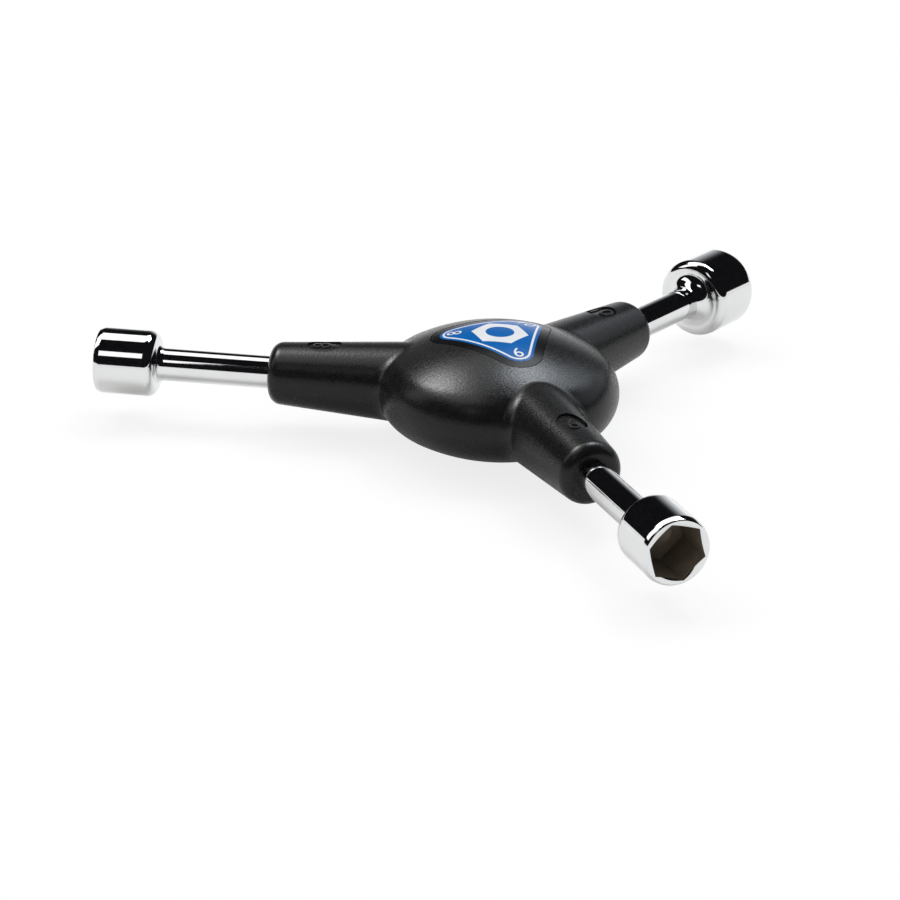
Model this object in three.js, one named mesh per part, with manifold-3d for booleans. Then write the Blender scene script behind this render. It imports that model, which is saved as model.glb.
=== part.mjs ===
// Three-way hex socket wrench: a moulded Y handle, a socket shaft in each arm and a label on the hub.
// Millimetres, +Z up. The origin is the middle of the flat underside that the wrench rests on.
// The arms point along 180, 300 and 60 degrees in plan and carry the 8, 9 and 10 mm sockets.

import * as THREE from 'three';
import { mergeVertices } from 'three/addons/utils/BufferGeometryUtils.js';
import Module from 'manifold-3d';

// Hub of the handle: two shallow crowns joined by a round edge, cut flat underneath
const HUB_DIAMETER = 44;
const HUB_HEIGHT = 22.5;
const HUB_EDGE_RADIUS = 7.25;
const UNDERSIDE_FLAT_DIAMETER = 15;

// Arms of the handle: cones with a little mould draft, rounded at the end and filleted into the hub
const ARM_REACH = 41.9;
const ARM_END_DIAMETER = 11.2;
const ARM_DRAFT_DEGREES = 4.25;
const ARM_END_ROUND = 2.3;
const ARM_ROOT_FILLET = 3;

// Oval pocket for the size number on top of each arm, placed from the arm's end
const POCKET_FROM_END = 9.9;
const POCKET_LENGTH = 6.3;
const POCKET_WIDTH = 5.4;
const POCKET_DEPTH = 0.4;

// Socket shafts outside the handle; a larger head gets a larger fillet behind its shoulder
const SHAFT_DIAMETER = 6;
const NECK_LENGTH = 21;
const SOCKET_LENGTH = 11.1;
const SHOULDER_FILLET_LEAST = 1.3;
const SHOULDER_ROUND = 1.8;
const MOUTH_TAPER_LENGTH = 1;
const MOUTH_TAPER_DEGREES = 20;
const MOUTH_ROUND = 0.25;

// Hexagons: nominal size across flats, and the wall left outside the corners of each
const HEX_8 = 8;
const HEX_9 = 9;
const HEX_10 = 10;
const CORNER_WALL_8 = 1.42;
const CORNER_WALL_9 = 0.85;
const CORNER_WALL_10 = 1.77;
const HEX_CLEARANCE = 0.1;
const HEX_FLOOR = 2.6;
const HEX_TURN_DEGREES = -15.5;
const LEAD_IN_DEGREES = 30;
const LEAD_IN_MARGIN = 0.05;
const DRILL_MARGIN = 1.5;
const DRILL_POINT_DEGREES = 118;

// Shank of each shaft inside the handle: keying flats at the inner end, a retaining groove further out
const SHANK_START = 8;
const SHANK_CHAMFER = 0.5;
const FLATS_LENGTH = 14;
const FLATS_ACROSS = 4.6;
const GROOVE_FROM_END = 12;
const GROOVE_WIDTH = 2;
const GROOVE_DEPTH = 0.5;
const MOULD_GAP = 0.12;

// Label: a round-cornered triangle, set in a recess of the crown with a film of adhesive under it
const LABEL_REACH = 12.5;
const LABEL_CORNER_RADIUS = 4.5;
const LABEL_THICKNESS = 0.3;
const LABEL_ADHESIVE = 0.1;
const LABEL_EDGE_GAP = 0.15;

// Facets: steps round each turned form and along each arc, and how far cutters pass a surface
const HUB_SIDES = 64;
const ARM_SIDES = 32;
const SHAFT_SIDES = 28;
const LABEL_SIDES = 36;
const ARC_STEPS = 2;
const FILLET_STEPS = 5;
const OVERCUT = 1;
const ROOT_SINK = 0.06;
const BISECTION_STEPS = 40;

// Sizes that follow from those above
const hubRadius = HUB_DIAMETER / 2;
const hubHalf = HUB_HEIGHT / 2;
const edgeRing = hubRadius - HUB_EDGE_RADIUS;
const crownRadius = (edgeRing ** 2 + hubHalf ** 2 - HUB_EDGE_RADIUS ** 2) / (2 * (hubHalf - HUB_EDGE_RADIUS));
const crownCentre = hubHalf - crownRadius;
const edgeSweep = Math.atan2(-crownCentre, edgeRing);
const axisHeight = crownCentre + Math.sqrt(crownRadius ** 2 - (UNDERSIDE_FLAT_DIAMETER / 2) ** 2);
const armDraft = THREE.MathUtils.degToRad(ARM_DRAFT_DEGREES);
const shaftRadius = SHAFT_DIAMETER / 2;
const shoulderReach = ARM_REACH + NECK_LENGTH;
const mouthReach = shoulderReach + SOCKET_LENGTH;
const labelRecess = LABEL_THICKNESS + LABEL_ADHESIVE;

const ARMS = [
  { name: 'socket_shaft_8mm', degrees: 180, hex: HEX_8, wall: CORNER_WALL_8 },
  { name: 'socket_shaft_9mm', degrees: 300, hex: HEX_9, wall: CORNER_WALL_9 },
  { name: 'socket_shaft_10mm', degrees: 60, hex: HEX_10, wall: CORNER_WALL_10 },
];

const nylon = new THREE.MeshStandardMaterial({ color: 0x1d1e20, roughness: 0.6, metalness: 0 });
const chrome = new THREE.MeshStandardMaterial({ color: 0xd9dbde, roughness: 0.08, metalness: 1 });
const vinyl = new THREE.MeshStandardMaterial({ color: 0x0a62b0, roughness: 0.35, metalness: 0 });

const wasm = await Module();
wasm.setup();

// A closed geometry as a solid to join and cut; triangles that shrink to a line at a pole are dropped
function solid(geometry) {
  const bare = geometry.clone();
  bare.deleteAttribute('normal');
  bare.deleteAttribute('uv');
  const merged = mergeVertices(bare);
  const index = merged.index.array;
  const kept = [];
  for (let i = 0; i < index.length; i += 3) {
    const [a, b, c] = index.slice(i, i + 3);
    if (a !== b && b !== c && c !== a) kept.push(a, b, c);
  }
  return new wasm.Manifold(new wasm.Mesh({
    numProp: 3,
    vertProperties: merged.attributes.position.array,
    triVerts: new Uint32Array(kept),
  }));
}

// A mesh of a finished solid
function meshOf(body, name, material) {
  const { vertProperties, triVerts } = body.getMesh();
  const geometry = new THREE.BufferGeometry();
  geometry.setAttribute('position', new THREE.BufferAttribute(vertProperties, 3));
  geometry.setIndex(new THREE.BufferAttribute(triVerts, 1));
  geometry.computeVertexNormals();
  const mesh = new THREE.Mesh(geometry, material);
  mesh.name = name;
  return mesh;
}

// Turns a profile of (radius, height) about Z, and one of (radius, reach) about an arm's axis, X
function turnedUpright(profile, sides) {
  return new THREE.LatheGeometry(profile.getPoints(ARC_STEPS), sides).rotateX(Math.PI / 2);
}

function turnedAlongArm(profile, sides = SHAFT_SIDES) {
  return new THREE.LatheGeometry(profile.getPoints(ARC_STEPS), sides).rotateZ(-Math.PI / 2);
}

// The hub alone, centred on the plane of the arms
function hub() {
  const flatRadius = UNDERSIDE_FLAT_DIAMETER / 2;
  const flatAngle = Math.acos(flatRadius / crownRadius);
  const profile = new THREE.Path();
  profile.moveTo(0, -axisHeight);
  profile.lineTo(flatRadius, -axisHeight);
  profile.absarc(0, -crownCentre, crownRadius, -flatAngle, -edgeSweep, false);
  profile.absarc(edgeRing, 0, HUB_EDGE_RADIUS, -edgeSweep, 0, false);
  profile.absarc(edgeRing, 0, HUB_EDGE_RADIUS, 0, edgeSweep, false);
  profile.absarc(0, crownCentre, crownRadius, edgeSweep, Math.PI / 2, false);
  return turnedUpright(profile, HUB_SIDES);
}

// Where the hub's surface curves about, seen from a point outside it: its round edge or one of its crowns
function hubCurvature(point) {
  const spoke = new THREE.Vector3(point.x, point.y, 0);
  const beyondRing = spoke.length() - edgeRing;
  const onEdge = beyondRing > 0 && Math.atan2(Math.abs(point.z), beyondRing) < edgeSweep;
  if (onEdge) return { centre: spoke.setLength(edgeRing), radius: HUB_EDGE_RADIUS };
  return { centre: new THREE.Vector3(0, 0, Math.sign(point.z) * crownCentre), radius: crownRadius };
}

function distanceToHub(point) {
  const { centre, radius } = hubCurvature(point);
  return point.distanceTo(centre) - radius;
}

function armRadius(reach) {
  return ARM_END_DIAMETER / 2 + (ARM_REACH - reach) * Math.tan(armDraft);
}

// Centre of the ball that touches both the arm and the hub, at one turn about the arm's axis
function rootBall(outward) {
  const lift = ARM_ROOT_FILLET / Math.cos(armDraft);
  const at = (reach) => outward.clone().multiplyScalar(armRadius(reach) + lift).setX(reach);
  let near = 0;
  let far = ARM_REACH;
  for (let i = 0; i < BISECTION_STEPS; i += 1) {
    const middle = (near + far) / 2;
    if (distanceToHub(at(middle)) < ARM_ROOT_FILLET) near = middle;
    else far = middle;
  }
  return at(far);
}

// One line along the arm's skin: hub centre, root fillet, straight flank, rounded end, end centre
function armLine(turn) {
  const outward = new THREE.Vector3(0, Math.cos(turn), Math.sin(turn));
  const flankNormal = outward.clone().multiplyScalar(Math.cos(armDraft)).setX(Math.sin(armDraft));
  const ball = rootBall(outward);
  const toHub = hubCurvature(ball).centre.sub(ball).normalize();
  const toArm = flankNormal.clone().negate();
  const sweep = toHub.angleTo(toArm);
  const points = [new THREE.Vector3()];
  for (let i = 0; i <= FILLET_STEPS; i += 1) {
    const share = i / FILLET_STEPS;
    const fromHub = Math.sin((1 - share) * sweep) / Math.sin(sweep);
    const fromArm = Math.sin(share * sweep) / Math.sin(sweep);
    const ray = toHub.clone().multiplyScalar(fromHub).addScaledVector(toArm, fromArm);
    const sink = i === 0 ? ROOT_SINK : 0;
    points.push(ball.clone().addScaledVector(ray, ARM_ROOT_FILLET + sink));
  }
  const roundReach = ARM_REACH - ARM_END_ROUND;
  const roundOffset = armRadius(roundReach) - ARM_END_ROUND / Math.cos(armDraft);
  const roundCentre = outward.clone().multiplyScalar(roundOffset).setX(roundReach);
  for (let i = 0; i <= FILLET_STEPS; i += 1) {
    const lean = (Math.PI / 2 - armDraft) * (1 - i / FILLET_STEPS);
    const ray = outward.clone().multiplyScalar(Math.sin(lean)).setX(Math.cos(lean));
    points.push(roundCentre.clone().addScaledVector(ray, ARM_END_ROUND));
  }
  points.push(new THREE.Vector3(ARM_REACH, 0, 0));
  return points;
}

// An arm as a skin through its lines, along X
function arm() {
  const lines = [];
  for (let side = 0; side < ARM_SIDES; side += 1) lines.push(armLine((side / ARM_SIDES) * 2 * Math.PI));
  const count = lines[0].length;
  const index = [];
  lines.forEach((line, side) => {
    const here = side * count;
    const next = ((side + 1) % ARM_SIDES) * count;
    for (let i = 0; i < count - 1; i += 1) {
      index.push(here + i, next + i, next + i + 1);
      index.push(here + i, next + i + 1, here + i + 1);
    }
  });
  const geometry = new THREE.BufferGeometry().setFromPoints(lines.flat());
  geometry.setIndex(index);
  return geometry;
}

// Cutter for the size pocket: an oval plug whose floor follows the arm's skin at an even depth
function pocketCutter() {
  const reach = ARM_REACH - POCKET_FROM_END;
  const outline = new THREE.Shape();
  outline.absellipse(reach, 0, POCKET_LENGTH / 2, POCKET_WIDTH / 2, 0, 2 * Math.PI);
  const plug = new THREE.ExtrudeGeometry(outline, {
    depth: armRadius(0),
    bevelEnabled: false,
    curveSegments: SHAFT_SIDES / 2,
  });
  const core = new THREE.Path();
  core.moveTo(0, 0);
  core.lineTo(armRadius(0) - POCKET_DEPTH, 0);
  core.lineTo(armRadius(ARM_REACH) - POCKET_DEPTH, ARM_REACH);
  core.lineTo(0, ARM_REACH);
  return solid(plug).subtract(solid(turnedAlongArm(core, ARM_SIDES)));
}

// The shank, or with growth the hollow that the moulding leaves round it
function shank(growth) {
  const radius = shaftRadius + growth;
  const start = SHANK_START - growth;
  const grooveRadius = radius - GROOVE_DEPTH;
  const grooveMiddle = ARM_REACH - GROOVE_FROM_END;
  const grooveHalf = GROOVE_WIDTH / 2 - growth;
  const end = ARM_REACH + OVERCUT;
  const profile = new THREE.Path();
  profile.moveTo(0, start);
  profile.lineTo(radius - SHANK_CHAMFER, start);
  profile.lineTo(radius, start + SHANK_CHAMFER);
  profile.lineTo(radius, grooveMiddle - grooveHalf);
  profile.lineTo(grooveRadius, grooveMiddle - grooveHalf);
  profile.lineTo(grooveRadius, grooveMiddle + grooveHalf);
  profile.lineTo(radius, grooveMiddle + grooveHalf);
  profile.lineTo(radius, end);
  profile.lineTo(0, end);
  let body = solid(turnedAlongArm(profile));
  const cutLength = FLATS_LENGTH + OVERCUT;
  const cutMiddle = SHANK_START - growth + FLATS_LENGTH - cutLength / 2;
  for (const side of [-1, 1]) {
    const cut = new THREE.BoxGeometry(cutLength, SHAFT_DIAMETER + 2 * OVERCUT, SHAFT_DIAMETER);
    cut.translate(cutMiddle, 0, side * (FLATS_ACROSS / 2 + growth + shaftRadius));
    body = body.subtract(solid(cut));
  }
  return body;
}

// Neck and socket head, from the handle to the mouth, before the hexagon is cut
function neckAndHead(socketRadius) {
  const rise = socketRadius - shaftRadius;
  const round = SHOULDER_ROUND * Math.min(1, rise / (SHOULDER_FILLET_LEAST + SHOULDER_ROUND));
  const fillet = rise - round;
  const taper = THREE.MathUtils.degToRad(MOUTH_TAPER_DEGREES);
  const taperStart = mouthReach - MOUTH_TAPER_LENGTH;
  const taperEnd = mouthReach - MOUTH_ROUND * (1 - Math.sin(taper));
  const taperRadius = socketRadius - (taperEnd - taperStart) * Math.tan(taper);
  const edgeRadius = taperRadius - MOUTH_ROUND * Math.cos(taper);
  const profile = new THREE.Path();
  profile.moveTo(0, ARM_REACH);
  profile.lineTo(shaftRadius, ARM_REACH);
  profile.lineTo(shaftRadius, shoulderReach - fillet);
  profile.absarc(shaftRadius + fillet, shoulderReach - fillet, fillet, Math.PI, Math.PI / 2, true);
  profile.absarc(socketRadius - round, shoulderReach + round, round, -Math.PI / 2, 0, false);
  profile.lineTo(socketRadius, taperStart);
  profile.absarc(edgeRadius, mouthReach - MOUTH_ROUND, MOUTH_ROUND, taper, Math.PI / 2, false);
  profile.lineTo(0, mouthReach);
  return solid(turnedAlongArm(profile));
}

// Broached hexagon, pointing along the arm, with room to pass the mouth
function hexCutter(cornerRadius, depth) {
  const corners = [];
  for (let i = 0; i < 6; i += 1) {
    const turn = THREE.MathUtils.degToRad(HEX_TURN_DEGREES + i * 60);
    corners.push(new THREE.Vector2(cornerRadius * Math.cos(turn), cornerRadius * Math.sin(turn)));
  }
  const cutter = new THREE.ExtrudeGeometry(new THREE.Shape(corners), {
    depth: depth + OVERCUT,
    bevelEnabled: false,
  });
  const axes = [new THREE.Vector3(0, 1, 0), new THREE.Vector3(0, 0, 1), new THREE.Vector3(1, 0, 0)];
  cutter.applyMatrix4(new THREE.Matrix4().makeBasis(...axes));
  return cutter.translate(mouthReach - depth, 0, 0);
}

// Cone with its point towards the handle, open at a radius and a reach
function coneCutter(radius, reach, slope) {
  const profile = new THREE.Path();
  profile.moveTo(0, reach - radius * slope);
  profile.lineTo(radius + OVERCUT / slope, reach + OVERCUT);
  profile.lineTo(0, reach + OVERCUT);
  return solid(turnedAlongArm(profile));
}

function socketShaft({ hex, wall }) {
  const acrossFlats = hex + HEX_CLEARANCE;
  const cornerRadius = acrossFlats / Math.sqrt(3);
  const hexDepth = SOCKET_LENGTH - HEX_FLOOR;
  const hexEnd = mouthReach - hexDepth;
  const drillRadius = acrossFlats / 2 - DRILL_MARGIN;
  const drillSlope = 1 / Math.tan(THREE.MathUtils.degToRad(DRILL_POINT_DEGREES / 2));
  const leadInSlope = Math.tan(THREE.MathUtils.degToRad(LEAD_IN_DEGREES));
  const drillPoint = new THREE.Path();
  drillPoint.moveTo(0, hexEnd - drillRadius * drillSlope);
  drillPoint.lineTo(drillRadius, hexEnd);
  drillPoint.lineTo(drillRadius, hexEnd + OVERCUT);
  drillPoint.lineTo(0, hexEnd + OVERCUT);
  return neckAndHead(cornerRadius + wall)
    .add(shank(0))
    .subtract(solid(hexCutter(cornerRadius, hexDepth)))
    .subtract(solid(turnedAlongArm(drillPoint)))
    .subtract(coneCutter(cornerRadius - LEAD_IN_MARGIN, mouthReach, leadInSlope));
}

// Rounded triangle with a corner towards each arm, as a prism through the upper crown
function labelPrism(growth) {
  const cornerRadius = LABEL_CORNER_RADIUS + growth;
  const cornerOffset = LABEL_REACH - LABEL_CORNER_RADIUS;
  const outline = new THREE.Shape();
  for (const { degrees } of ARMS) {
    const turn = THREE.MathUtils.degToRad(degrees);
    const x = cornerOffset * Math.cos(turn);
    const y = cornerOffset * Math.sin(turn);
    outline.absarc(x, y, cornerRadius, turn - Math.PI / 3, turn + Math.PI / 3, false);
  }
  outline.closePath();
  const prism = new THREE.ExtrudeGeometry(outline, {
    depth: hubHalf + OVERCUT,
    bevelEnabled: false,
    curveSegments: FILLET_STEPS,
  });
  return solid(prism);
}

// A layer of the upper crown between two depths below its surface
function crownLayer(deep, shallow) {
  const rim = Math.acos((LABEL_REACH + OVERCUT) / crownRadius);
  const profile = new THREE.Path();
  profile.absarc(0, crownCentre, crownRadius - deep, Math.PI / 2, rim, true);
  profile.absarc(0, crownCentre, crownRadius - shallow, rim, Math.PI / 2, false);
  return solid(turnedUpright(profile, LABEL_SIDES));
}

function handle() {
  const armBody = solid(arm());
  const cutters = pocketCutter().add(shank(MOULD_GAP));
  const turns = ARMS.map(({ degrees }) => [0, 0, degrees]);
  let body = solid(hub());
  for (const turn of turns) body = body.add(armBody.rotate(turn));
  for (const turn of turns) body = body.subtract(cutters.rotate(turn));
  return body.subtract(crownLayer(labelRecess, -OVERCUT).intersect(labelPrism(LABEL_EDGE_GAP)));
}

function label() {
  return crownLayer(LABEL_THICKNESS, 0).intersect(labelPrism(0));
}

const wrench = new THREE.Group();
wrench.position.z = axisHeight;
wrench.add(meshOf(handle(), 'handle', nylon));
for (const place of ARMS) {
  const armGroup = new THREE.Group();
  armGroup.rotation.z = THREE.MathUtils.degToRad(place.degrees);
  armGroup.add(meshOf(socketShaft(place), place.name, chrome));
  wrench.add(armGroup);
}
wrench.add(meshOf(label(), 'label', vinyl));

export default wrench;
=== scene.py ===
"""Three-way hex socket wrench: moulded nylon handle, three chromed socket shafts and a vinyl label.

Shapes are modelled in millimetres about the middle of the hub, with the arms in the plane z = 0.
finish_piece() turns them into metres and lifts them onto the frame, whose origin is under the hub.
"""

import math

import bmesh
import bpy
import numpy as np
from mathutils import Matrix, Quaternion, Vector


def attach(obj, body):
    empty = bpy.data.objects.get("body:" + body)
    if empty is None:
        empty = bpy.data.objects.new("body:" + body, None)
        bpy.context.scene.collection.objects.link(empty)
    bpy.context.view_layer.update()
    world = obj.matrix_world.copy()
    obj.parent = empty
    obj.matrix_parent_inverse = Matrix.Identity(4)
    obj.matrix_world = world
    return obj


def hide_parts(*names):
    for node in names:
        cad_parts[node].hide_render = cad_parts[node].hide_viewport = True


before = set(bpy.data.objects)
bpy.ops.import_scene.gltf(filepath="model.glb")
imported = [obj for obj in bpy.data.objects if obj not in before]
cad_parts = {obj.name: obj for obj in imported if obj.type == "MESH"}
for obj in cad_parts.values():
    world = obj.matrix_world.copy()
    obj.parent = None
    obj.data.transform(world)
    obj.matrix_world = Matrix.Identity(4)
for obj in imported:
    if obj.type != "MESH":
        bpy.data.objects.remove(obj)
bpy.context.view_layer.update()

# Hub and arms of the handle
HUB_DIAMETER = 44.0
HUB_HEIGHT = 22.5
HUB_EDGE_RADIUS = 7.25
UNDERSIDE_FLAT_DIAMETER = 15.0
ARM_REACH = 41.9
ARM_END_DIAMETER = 11.2
ARM_DRAFT_DEGREES = 4.25
ARM_END_ROUND = 2.3
ARM_ROOT_FILLET = 3.0
FIRST_ARM_DEGREES = 60.0
ARM_SPACING_DEGREES = 120.0

# Oval pocket and raised number on top of each arm
POCKET_FROM_END = 9.9
POCKET_LENGTH = 6.3
POCKET_WIDTH = 5.4
POCKET_DEPTH = 0.4
NUMBER_HEIGHT = 3.4
NUMBER_RELIEF = 0.25
NUMBER_SINK = 0.1
NUMBER_SHIFT = 0.5
NUMBER_BEVEL = 0.12

# Smooth, ungrained ends of the arms
SMOOTH_END_LENGTH = 5.4
SMOOTH_END_FADE = 1.2

# Socket shafts
SHAFT_DIAMETER = 6.0
NECK_LENGTH = 21.0
SOCKET_LENGTH = 11.1
SHOULDER_FILLET_LEAST = 1.3
SHOULDER_ROUND = 1.8
MOUTH_TAPER_LENGTH = 1.0
MOUTH_TAPER_DEGREES = 20.0
MOUTH_ROUND = 0.3
HEX_CLEARANCE = 0.1
HEX_FLOOR = 2.6
HEX_TURN_DEGREES = -15.5
LEAD_IN_DEGREES = 23.0
LEAD_IN_MARGIN = 0.05
DRILL_MARGIN = 1.5
DRILL_POINT_DEGREES = 118.0
SHANK_START = 8.0
SHANK_CHAMFER = 0.5
FLATS_LENGTH = 14.0
FLATS_ACROSS = 4.6
FLATS_STEP = 0.02
GROOVE_FROM_END = 12.0
GROOVE_WIDTH = 2.0
GROOVE_DEPTH = 0.5
MOULD_GAP = 0.02

# Hexagon across flats, wall outside its corners, plan direction of the arm and the number marked on it
ARMS = {
    "socket_shaft_8mm": {"hex": 8.0, "wall": 1.42, "degrees": 180.0, "number": "8"},
    "socket_shaft_9mm": {"hex": 9.0, "wall": 0.85, "degrees": 300.0, "number": "9"},
    "socket_shaft_10mm": {"hex": 10.0, "wall": 1.77, "degrees": 60.0, "number": "10"},
}

# Label in its recess on the crown, printed in thin films that lie one layer above another
LABEL_REACH = 12.5
LABEL_CORNER_RADIUS = 4.5
LABEL_THICKNESS = 0.3
LABEL_ADHESIVE = 0.1
LABEL_EDGE_GAP = 0.15
LABEL_BORDER = 1.6
KEYLINE_FROM_FIELD = 0.5
KEYLINE_WIDTH = 0.4
NUT_ACROSS_FLATS = 9.0
NUT_HOLE_DIAMETER = 5.2
LABEL_NUMBER_HEIGHT = 2.7
LABEL_NUMBER_REACH = 8.3
PRINT_LAYERS = 3
PRINT_LAYER = 0.008
PRINT_FILM = 0.006

# Fineness of the meshes. HOLD is how far from a curve a ring holds the straight stretch beside it.
HUB_STEPS = 96
ARM_STEPS = 64
SHAFT_STEPS = 120
ARC_STEPS = 14
BEVEL_STEPS = 3
CANOPY_STEPS = 48
HOLD = 0.15
SKIN_VOXEL = 0.32
SETTLE_ROUNDS = 5
SETTLE_PROBE = 0.01
SMOOTH_ROUNDS = 2
SMOOTH_SHARE = 0.5
LABEL_GRID = 1.0
POCKET_GRID = 0.4
OVERCUT = 1.0
WELD = 1e-4
SLIVER = 2e-3
SHARP_DEGREES = 28.0

# Limits that keep a division safe, and the upward share of a normal on upright and on level faces
LEAST_SLOPE = 0.1
LEAST_SPREAD = 1e-6
UPRIGHT_BELOW = 0.1
LEVEL_ABOVE = 0.9

# Finishes. Sizes of grain and mottle and depths are in millimetres, relief is the strength of the
# bump, roughness has two limits, and tones are the dark and the light one that the mottle mixes.
NOISE = {"detail": 2, "roughness": 0.6, "contrast": (0.25, 0.75)}
NYLON = {"grain": 0.42, "mottle": 1.6, "roughness": (0.2, 0.34), "relief": 0.8}
NYLON_SPECULAR = 0.24
GRAINED = {"tones": ((0.0045, 0.0045, 0.005), (0.009, 0.009, 0.0095)), "depth": 0.016}
# Nylon of the raised numbers: its tones are lighter than the grained skin's as painted sheen, for the
# light that the raised strokes catch; its shallower grain is real.
SHEEN_PAINTED_NUMBERS = {"tones": ((0.018, 0.018, 0.019), (0.03, 0.03, 0.031)), "depth": 0.004}
CHROME = {"grain": 2.5, "mottle": 6.0, "roughness": (0.03, 0.06), "relief": 0.1, "depth": 0.004}
CHROME_TONES = ((0.705, 0.71, 0.71), (0.74, 0.745, 0.745))
STEEL = {"grain": 0.5, "mottle": 2.2, "roughness": (0.38, 0.55), "relief": 0.25, "depth": 0.02}
STEEL_TONES = ((0.16, 0.13, 0.095), (0.24, 0.20, 0.15))
STEEL_METALLIC = 0.4
VINYL = {"grain": 0.35, "mottle": 4.0, "roughness": (0.2, 0.28), "relief": 0.12, "depth": 0.01}
VINYL_SPECULAR = 0.15
INKS = {
    "black_ink": ((0.006, 0.006, 0.007), (0.010, 0.010, 0.011)),
    "blue_ink": ((0.0005, 0.112, 0.39), (0.0007, 0.124, 0.43)),
    "white_ink": ((0.72, 0.73, 0.75), (0.80, 0.81, 0.82)),
}

# Floor, dark canopy, world and lamps, in metres. The glow starts at the first of its degrees away from
# its direction and is full at the second.
FLOOR_SIZE = 7.0
FLOOR_DROP = 0.0001
FLOOR_TONE = (0.95, 0.94, 0.93)
FLOOR_WHITE_SEEN = 0.81
FLOOR_WHITE_MIRRORED = 0.1
CANOPY_RADIUS = 4.5
CANOPY_LOW_DEGREES = 5.0
CANOPY_TONE = (0.01, 0.01, 0.012)
BACK_GLOW = 0.9
BACK_GLOW_TINT = (0.93, 0.96, 1)
BACK_GLOW_TOWARDS = (178, 4)
BACK_GLOW_DEGREES = (30, 3)
BACK_GLOW_FALL = 4
AMBIENT = 0.56
LIGHT_DISTANCE = 3.0
WARM = (1, 0.98, 0.97)
COOL = (0.86, 0.93, 1)
PLAIN = (1, 1, 1)

# Soft boxes. Towards is degrees round from the near side to the right, then degrees above the floor.
# Spread is the half angle that the box fills across and up.
SOFT_BOXES = {
    "back_box": {"towards": (-155, 62), "spread": (28, 15), "roll": 0, "glow": 1.5, "tint": PLAIN},
    "left_box": {"towards": (-117, 55), "spread": (16, 11), "roll": 0, "glow": 1.6, "tint": PLAIN},
    "back_right_box": {"towards": (155, 58), "spread": (12, 12), "roll": 0, "glow": 5, "tint": COOL},
    "left_card": {"towards": (-88, 37), "spread": (9, 20), "roll": 0, "glow": 1.5, "tint": PLAIN},
    "front_strip": {"towards": (-23.5, 42), "spread": (4.5, 8), "roll": 12, "glow": 1.4, "tint": PLAIN},
}
# More boxes that show in the gloss of the handle and its numbers alone
SHEEN_BOXES = {
    "left_sheen": {"towards": (-118, 55.5), "spread": (9, 8.5), "roll": 0, "glow": 15, "tint": WARM},
    "right_sheen": {"towards": (160, 63), "spread": (6.5, 8), "roll": 0, "glow": 11.5, "tint": COOL},
    "right_skirt": {"towards": (141, 44), "spread": (12, 9), "roll": 0, "glow": 2, "tint": COOL},
    "right_fill": {"towards": (128, 28), "spread": (26, 14), "roll": 0, "glow": 0.9, "tint": COOL},
    "left_fill": {"towards": (-80, 67), "spread": (20, 14), "roll": 0, "glow": 2, "tint": PLAIN},
    "back_fill": {"towards": (-160, 22), "spread": (18, 12), "roll": 0, "glow": 0.2, "tint": PLAIN},
}

# Camera, with the hub's middle in millimetres to its right, below it and ahead of it
CAMERA_AZIMUTH_DEGREES = 7.351
CAMERA_ELEVATION_DEGREES = 23.084
CAMERA_ROLL_DEGREES = -1.524
CAMERA_LENS = 118.17
CAMERA_SENSOR = 36.0
HUB_FROM_CAMERA = (8.7141, -11.0203, 535.9957)

# Units, axes and values that follow from those above
MM = 0.001
X_AXIS = Vector((1, 0, 0))
Y_AXIS = Vector((0, 1, 0))
Z_AXIS = Vector((0, 0, 1))
HUB_HALF = HUB_HEIGHT / 2
EDGE_RING = HUB_DIAMETER / 2 - HUB_EDGE_RADIUS
CROWN_RADIUS = (EDGE_RING**2 + HUB_HALF**2 - HUB_EDGE_RADIUS**2) / (2 * (HUB_HALF - HUB_EDGE_RADIUS))
CROWN_CENTRE = HUB_HALF - CROWN_RADIUS
EDGE_SWEEP = math.atan2(-CROWN_CENTRE, EDGE_RING)
AXIS_HEIGHT = CROWN_CENTRE + math.sqrt(CROWN_RADIUS**2 - (UNDERSIDE_FLAT_DIAMETER / 2) ** 2)
ARM_DRAFT = math.radians(ARM_DRAFT_DEGREES)
SHAFT_RADIUS = SHAFT_DIAMETER / 2
SHOULDER_REACH = ARM_REACH + NECK_LENGTH
MOUTH_REACH = SHOULDER_REACH + SOCKET_LENGTH
POCKET_REACH = ARM_REACH - POCKET_FROM_END
HEX_SIDE = math.radians(60)
HEX_TURN = math.radians(HEX_TURN_DEGREES)
# Turns a number so that its foot is towards the hub and its top towards the end of the arm
OUTWARDS = Matrix.Rotation(-math.pi / 2, 4, "Z")


def arm_directions():
    return [place["degrees"] for place in ARMS.values()]


def arm_radius(reach):
    return ARM_END_DIAMETER / 2 + (ARM_REACH - reach) * math.tan(ARM_DRAFT)


def arm_turn(degrees):
    return Matrix.Rotation(math.radians(degrees), 4, "Z")


def arc(centre, radius, start, end, steps=ARC_STEPS):
    """Points of a circular stretch of a profile, from one angle to another."""
    angles = [start + (end - start) * i / steps for i in range(steps + 1)]
    return [(centre[0] + radius * math.cos(a), centre[1] + radius * math.sin(a)) for a in angles]


def hex_radius(angle, across_flats, turn=0.0):
    """Distance from the middle of a hexagon to its side, at an angle."""
    within = (angle - turn) % HEX_SIDE - HEX_SIDE / 2
    return across_flats / 2 / math.cos(within)


# Meshes and objects


def mesh_from(bm, name):
    mesh = bpy.data.meshes.new(name)
    bm.to_mesh(mesh)
    bm.free()
    return mesh


def add_object(name, data):
    """A new object at the scene's origin."""
    thing = bpy.data.objects.new(name, data)
    bpy.context.scene.collection.objects.link(thing)
    return thing


def mesh_after(data, name, modifier=None, **settings):
    """The mesh that a mesh or a text makes, after a modifier with these settings."""
    holder = add_object(name, data)
    if modifier:
        change = holder.modifiers.new(name, modifier)
        for setting, value in settings.items():
            setattr(change, setting, value)
    graph = bpy.context.evaluated_depsgraph_get()
    result = bpy.data.meshes.new_from_object(holder.evaluated_get(graph))
    bpy.data.objects.remove(holder)
    return result


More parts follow.
